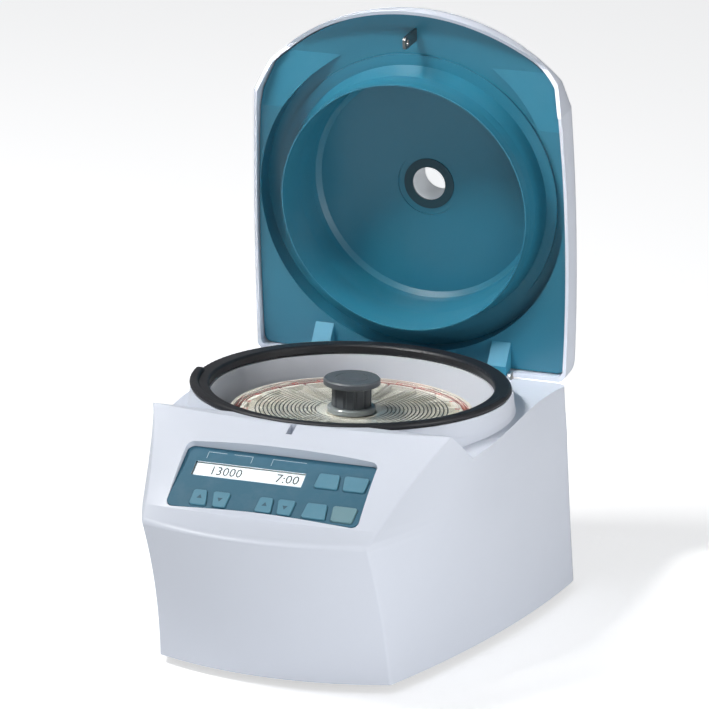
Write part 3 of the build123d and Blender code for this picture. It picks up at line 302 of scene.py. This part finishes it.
# Metals: lighter and darker tone, least and greatest roughness, and how close the lines lie along each axis
METALS = {
    "hook_steel": ((0.24, 0.23, 0.22), (0.19, 0.18, 0.175), (0.3, 0.42)),
    "zinc_steel": ((0.58, 0.59, 0.60), (0.50, 0.51, 0.52), (0.35, 0.5), (300.0, 300.0, 300.0)),
    "bright_steel": ((0.62, 0.62, 0.61), (0.55, 0.55, 0.54), (0.22, 0.34)),
    "motor_metal": ((0.55, 0.56, 0.57), (0.48, 0.49, 0.50), (0.4, 0.55), (200.0, 200.0, 900.0)),
    "pin_brass": ((0.72, 0.56, 0.28), (0.65, 0.48, 0.22), (0.2, 0.3)),
}

finishes = {name: moulded(name, *values) for name, values in PLASTICS.items()}
finishes.update({name: metal(name, *values) for name, values in METALS.items()})
finishes["clear_acrylic"] = clear("clear_acrylic", (0.93, 0.95, 0.96), 0.0)
finishes["display_glass"] = clear("display_glass", (0.90, 0.93, 0.93), 0.05)

# Finish of each material slot, where its name is another than the slot's, and of single nodes
FINISH_OF_SLOT = {
    "housing_plastic": "body_white", "teal_plastic": "lid_teal", "black_rubber": "foot_black",
    "red_rubber": "gasket_red", "painted_steel": "panel_paint", "rotor_plastic": "rotor_cream",
    "clear_plastic": "clear_acrylic", "knob_plastic": "knob_grey", "key_plastic": "key_teal",
    "transformer_iron": "iron_dark",
}
FINISH_OF_NODE = {
    "control_plate": "plate_teal", "seal_ring": "seal_black", "key_stop": "key_stop_teal",
    "hinge_arm_left": "arm_teal", "hinge_arm_right": "arm_teal", "clear_collar": "collar_pale",
    "latch_hook": "hook_steel", "port_grommet": "grommet_teal_painted_shade", "port_sleeve": "sleeve_white",
}
for part in frame["record"]["subparts"]:
    slot = part["material_slot"]
    finish = FINISH_OF_NODE.get(part["node"], FINISH_OF_SLOT.get(slot, slot))
    node = nodes[part["node"]]
    node.data.materials.clear()
    node.data.materials.append(finishes[finish])


# Places read from the frame

MM = 0.001
panel_press = next(joint for joint in frame["joints"] if joint["name"] == "key_start_press")
PANEL_OUT = -Vector(panel_press["axis"]).normalized()
PANEL_SIDE = Vector((1.0, 0.0, 0.0))
PANEL_UP = PANEL_OUT.cross(PANEL_SIDE)
PANEL_TURN = Matrix((PANEL_SIDE, PANEL_UP, PANEL_OUT)).transposed().to_euler()
# Gap under printed marks, and how thick the print lies, in metres
PRINT_LIFT = 0.00004
PRINT_THICK = 0.00008


def reach(node, direction):
    """Least and greatest distance of a node's surface along a direction."""
    along = [corner.co.dot(direction) for corner in nodes[node].data.vertices]
    return min(along), max(along)


def top_spot(node):
    """Middle of a panel node's outer face."""
    side, up = reach(node, PANEL_SIDE), reach(node, PANEL_UP)
    return (PANEL_SIDE * sum(side) / 2 + PANEL_UP * sum(up) / 2 + PANEL_OUT * reach(node, PANEL_OUT)[1])


def cover_level():
    """Height of the reading cover's flat top."""
    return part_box("reading_cover")[1][2]


def on_plate(side, up):
    """Place on the control plate, in millimetres from its middle."""
    return top_spot("control_plate") + PANEL_SIDE * side * MM + PANEL_UP * up * MM


# Printed marks and small pieces, modelled one by one

def pick_edges(piece, wanted):
    """Leaves only the edges selected whose middle passes a test, in edit mode."""
    bpy.ops.mesh.select_all(action="DESELECT")
    bpy.ops.mesh.select_mode(type="EDGE")
    form = bmesh.from_edit_mesh(piece.data)
    for edge in form.edges:
        edge.select_set(wanted(piece.matrix_world @ ((edge.verts[0].co + edge.verts[1].co) / 2)))
    bmesh.update_edit_mesh(piece.data)


def settle(piece, name, body, finish):
    """Sets a finished piece at the origin, names it and lets it ride on a body."""
    bpy.ops.object.select_all(action="DESELECT")
    piece.select_set(True)
    bpy.context.view_layer.objects.active = piece
    bpy.ops.object.transform_apply(location=True, rotation=True, scale=True)
    piece.name = name
    piece.data.name = name
    piece.data.materials.clear()
    piece.data.materials.append(finishes[finish])
    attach(piece, body)


def thicken(direction, amount):
    """Extrudes the whole flat piece in hand along a direction."""
    bpy.ops.object.mode_set(mode="EDIT")
    bpy.ops.mesh.select_all(action="SELECT")
    bpy.ops.mesh.extrude_region_move(TRANSFORM_OT_translate={"value": direction * amount})
    bpy.ops.mesh.select_all(action="SELECT")
    bpy.ops.mesh.normals_make_consistent(inside=False)
    bpy.ops.object.mode_set(mode="OBJECT")


def key_triangle(key, turn, radius=0.0022):
    """Printed triangle on a key, pointing up the panel or down it."""
    bpy.ops.object.select_all(action="DESELECT")
    bpy.ops.mesh.primitive_circle_add(
        vertices=3, radius=radius, fill_type="NGON",
        location=top_spot(key) + PANEL_OUT * PRINT_LIFT, rotation=PANEL_TURN)
    piece = bpy.context.object
    bpy.ops.object.mode_set(mode="EDIT")
    bpy.ops.transform.rotate(value=turn, orient_axis="Z", orient_type="LOCAL",
                             center_override=piece.location)
    bpy.ops.mesh.bevel(offset=radius * 0.12, segments=2, affect="VERTICES")
    bpy.ops.object.mode_set(mode="OBJECT")
    thicken(PANEL_OUT, PRINT_THICK)
    settle(piece, key + "_mark", key, "mark_blue")


def bracket(name, corner, reach_side, drop, width=0.00035):
    """Thin printed bracket over the display: a corner with one long and one short leg."""
    spot = on_plate(*corner) + PANEL_OUT * PRINT_LIFT
    bpy.ops.object.select_all(action="DESELECT")
    bpy.ops.mesh.primitive_plane_add(size=width, location=spot, rotation=PANEL_TURN)
    piece = bpy.context.object
    bpy.ops.object.mode_set(mode="EDIT")
    way = 1.0 if reach_side > 0 else -1.0
    pick_edges(piece, lambda middle: (middle - spot).dot(PANEL_SIDE) * way > width / 4)
    bpy.ops.mesh.extrude_edges_move(TRANSFORM_OT_translate={"value": PANEL_SIDE * reach_side * MM})
    pick_edges(piece, lambda middle: (middle - spot).dot(PANEL_UP) < -width / 4
               and abs((middle - spot).dot(PANEL_SIDE)) < width / 4)
    bpy.ops.mesh.extrude_edges_move(TRANSFORM_OT_translate={"value": PANEL_UP * -drop * MM})
    bpy.ops.object.mode_set(mode="OBJECT")
    thicken(PANEL_OUT, PRINT_THICK)
    settle(piece, name, "base", "print_pale")


def number(name, text, spot, turn, size, finish, body, squeeze=1.0):
    """Printed number as thin raised strokes."""
    bpy.ops.object.select_all(action="DESELECT")
    bpy.ops.object.text_add(location=spot, rotation=turn)
    piece = bpy.context.object
    piece.data.body = text
    piece.data.size = size
    piece.data.align_x = "CENTER"
    piece.data.align_y = "CENTER"
    piece.data.resolution_u = 2
    piece.data.extrude = PRINT_THICK / 2
    piece.scale.x = squeeze
    bpy.ops.object.convert(target="MESH")
    settle(bpy.context.object, name, body, finish)


# Reading scale on the clear cover

def scale_rings(inner, outer, step, width):
    """Concentric printed circles on the cover, as one flat piece."""
    rings = []
    radius = inner
    while radius < outer:
        bpy.ops.object.select_all(action="DESELECT")
        bpy.ops.mesh.primitive_circle_add(vertices=96, radius=radius, fill_type="NOTHING",
                                          location=(0.0, AXIS_Y, cover_level() + PRINT_LIFT))
        ring = bpy.context.object
        bpy.ops.object.mode_set(mode="EDIT")
        bpy.ops.mesh.select_all(action="SELECT")
        shrink = (radius - width) / radius
        bpy.ops.mesh.extrude_edges_move()
        bpy.ops.transform.resize(value=(shrink, shrink, 1.0), center_override=ring.location)
        bpy.ops.object.mode_set(mode="OBJECT")
        rings.append(ring)
        radius += step
    bpy.ops.object.select_all(action="DESELECT")
    for ring in rings:
        ring.select_set(True)
    bpy.context.view_layer.objects.active = rings[0]
    bpy.ops.object.join()
    settle(rings[0], "scale_rings", "rotor", "scale_ink")


def scale_ticks(count, first, last, rows, beside, width, length):
    """Short ticks beside each tube slot, modelled once and spun round the cover."""
    bpy.ops.object.select_all(action="DESELECT")
    bpy.ops.mesh.primitive_plane_add(size=width,
                                     location=(beside, AXIS_Y - first, cover_level() + PRINT_LIFT))
    piece = bpy.context.object
    bpy.ops.object.mode_set(mode="EDIT")
    pick_edges(piece, lambda middle: middle.x > beside + width / 3)
    bpy.ops.mesh.extrude_edges_move(TRANSFORM_OT_translate={"value": (length, 0.0, 0.0)})
    bpy.ops.object.mode_set(mode="OBJECT")
    column = piece.modifiers.new("rows", "ARRAY")
    column.count = rows
    column.use_relative_offset = False
    column.use_constant_offset = True
    column.constant_offset_displace = (0.0, -(last - first) / (rows - 1), 0.0)
    bpy.ops.object.modifier_apply(modifier=column.name)
    bpy.ops.object.mode_set(mode="EDIT")
    bpy.ops.mesh.select_all(action="SELECT")
    bpy.ops.mesh.spin(steps=count, dupli=True, angle=2 * pi, center=(0.0, AXIS_Y, 0.0),
                      axis=(0.0, 0.0, 1.0))
    bpy.ops.object.mode_set(mode="OBJECT")
    settle(piece, "scale_ticks", "rotor", "scale_ink")


def slot_numbers(count, radius, size):
    """Small plain numbers round the rotor's rim, read through the cover."""
    for index in range(count):
        angle = 2 * pi * (index + 0.5) / count
        spot = (radius * sin(angle), AXIS_Y - radius * cos(angle), cover_level() + PRINT_LIFT)
        number(f"slot_number_{index + 1}", str(index + 1), spot, (0.0, 0.0, angle), size, "print_red",
               "rotor")


def panel_screw(name, side, up, radius=0.0026, head=0.0012, rounding=0.0004, rim=0.0012, recess=0.0011):
    """Pan head screw with a round recess, on the rear panel."""
    spot = Vector((side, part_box("rear_panel")[1][1], up))
    bpy.ops.object.select_all(action="DESELECT")
    bpy.ops.mesh.primitive_cylinder_add(vertices=20, radius=radius, depth=head,
                                        location=spot + Vector((0.0, head / 2, 0.0)),
                                        rotation=(pi / 2, 0.0, 0.0))
    piece = bpy.context.object
    bpy.ops.object.mode_set(mode="EDIT")
    bpy.ops.mesh.select_mode(type="FACE")
    bpy.ops.mesh.select_all(action="DESELECT")
    form = bmesh.from_edit_mesh(piece.data)
    for face in form.faces:
        face.select_set((piece.matrix_world @ face.calc_center_median()).y > spot.y + head * 0.9)
    bmesh.update_edit_mesh(piece.data)
    bpy.ops.mesh.inset(thickness=rounding)
    bpy.ops.transform.translate(value=(0.0, rounding, 0.0))
    bpy.ops.mesh.inset(thickness=rim)
    bpy.ops.mesh.extrude_region_move(TRANSFORM_OT_translate={"value": (0.0, -recess, 0.0)})
    bpy.ops.object.mode_set(mode="OBJECT")
    settle(piece, name, "base", "zinc_steel")


key_triangle("key_speed_up", 0.0)
key_triangle("key_speed_down", pi)
key_triangle("key_time_up", 0.0)
key_triangle("key_time_down", pi)

# Brackets stand over the display, and figures in it, at places given in millimetres on the plate
bracket("bracket_speed_left", (-53.0, 22.9), 13.0, 5.6)
bracket("bracket_speed_right", (-21.0, 22.9), -13.5, 5.6)
bracket("bracket_time", (-6.4, 22.9), 24.0, 5.6)
display_up = reach("display_module", PANEL_OUT)[1]
plate_up = reach("control_plate", PANEL_OUT)[1]
sink = PANEL_OUT * (display_up - plate_up + PRINT_THICK)
figures = (("speed_figures", "13000", -36.3, 0.9), ("time_figures", "7:00", 8.0, 0.95))
for name, text, side, squeeze in figures:
    number(name, text, on_plate(side, 8.0) + sink, PANEL_TURN, 0.0105, "ink_dark", "base", squeeze)

TUBE_SLOTS = 24
scale_rings(inner=0.026, outer=0.070, step=0.0028, width=0.0009)
scale_ticks(TUBE_SLOTS, first=0.030, last=0.070, rows=11, beside=0.0015, width=0.0003, length=0.0016)
slot_numbers(TUBE_SLOTS, radius=0.0745, size=0.0056)

SCREW_INSET = 0.005
rear_low, rear_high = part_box("rear_panel")
for row, up in (("low", rear_low[2] + SCREW_INSET), ("high", rear_high[2] - SCREW_INSET)):
    panel_screw(f"rear_screw_{row}_left", rear_high[0] - SCREW_INSET, up)
    panel_screw(f"rear_screw_{row}_right", rear_low[0] + SCREW_INSET, up)


# Studio

def seen_by_eye(tree):
    """Mask of rays that come straight from the camera, or through glass."""
    rays = tree.nodes.new("ShaderNodeLightPath")
    seen = tree.nodes.new("ShaderNodeMath")
    seen.operation = "MAXIMUM"
    tree.links.new(rays.outputs["Is Camera Ray"], seen.inputs[0])
    tree.links.new(rays.outputs["Is Transmission Ray"], seen.inputs[1])
    return seen.outputs[0]


def studio_floor():
    """Large pale floor that keeps the object's shadow."""
    bpy.ops.mesh.primitive_circle_add(vertices=64, radius=14.0, fill_type="NGON", location=(0, 0, 0))
    floor = bpy.context.object
    floor.name = "studio_floor"
    finish, tree, shader = new_finish("studio_paper")
    shader.inputs["Roughness"].default_value = 0.9
    shader.inputs["Specular IOR Level"].default_value = 0.0
    effect = put_group(tree, GRAIN, Grain_Size=200.0, Cloud_Size=3.0)
    tree.links.new(two_tone(tree, effect.outputs["Clouds"], (0.90, 0.90, 0.90), (0.88, 0.88, 0.88)),
                   shader.inputs["Base Color"])
    lift = tree.nodes.new("ShaderNodeMath")
    lift.operation = "MULTIPLY"
    lift.inputs[1].default_value = 0.55
    tree.links.new(seen_by_eye(tree), lift.inputs[0])
    shader.inputs["Emission Color"].default_value = (1.0, 1.0, 1.0, 1.0)
    tree.links.new(lift.outputs[0], shader.inputs["Emission Strength"])
    floor.data.materials.append(finish)


def area_light(name, place, aim, size, power, beam=180.0):
    """Soft rectangular lamp that points at a spot, its beam narrowed by an angle."""
    lamp = bpy.data.lights.new(name, "AREA")
    lamp.shape = "RECTANGLE"
    lamp.size, lamp.size_y = size
    lamp.energy = power
    lamp.spread = radians(beam)
    holder = bpy.data.objects.new(name, lamp)
    holder.location = place
    direction = Vector(aim) - Vector(place)
    holder.rotation_euler = direction.to_track_quat("-Z", "Y").to_euler()
    bpy.context.scene.collection.objects.link(holder)


def studio_light():
    """Key from the upper left, low fills on front and side, a narrow lamp on the lid, and a dim room."""
    area_light("key", (-1.2, -0.6, 2.0), (0.0, 0.0, 0.2), (0.5, 0.5), 31.0)
    area_light("front_fill", (0.9, -1.7, 0.14), (0.0, 0.0, 0.07), (1.0, 0.3), 1.5, beam=70.0)
    area_light("side_fill", (1.9, -0.5, 0.25), (0.1, 0.0, 0.08), (0.9, 0.5), 2.2, beam=70.0)
    area_light("lid_light", (-0.5, -0.75, 1.5), (0.05, 0.14, 0.24), (0.3, 0.3), 0.34, beam=20.0)
    world = bpy.data.worlds.new("studio_room")
    bpy.context.scene.world = world
    world.use_nodes = True
    tree = world.node_tree
    room = tree.nodes["Background"]
    room.inputs["Color"].default_value = (0.94, 0.96, 1.0, 1.0)
    level = tree.nodes.new("ShaderNodeMapRange")
    level.inputs["To Min"].default_value = 0.24
    level.inputs["To Max"].default_value = 1.12
    tree.links.new(seen_by_eye(tree), level.inputs["Value"])
    tree.links.new(level.outputs["Result"], room.inputs["Strength"])


studio_floor()
studio_light()
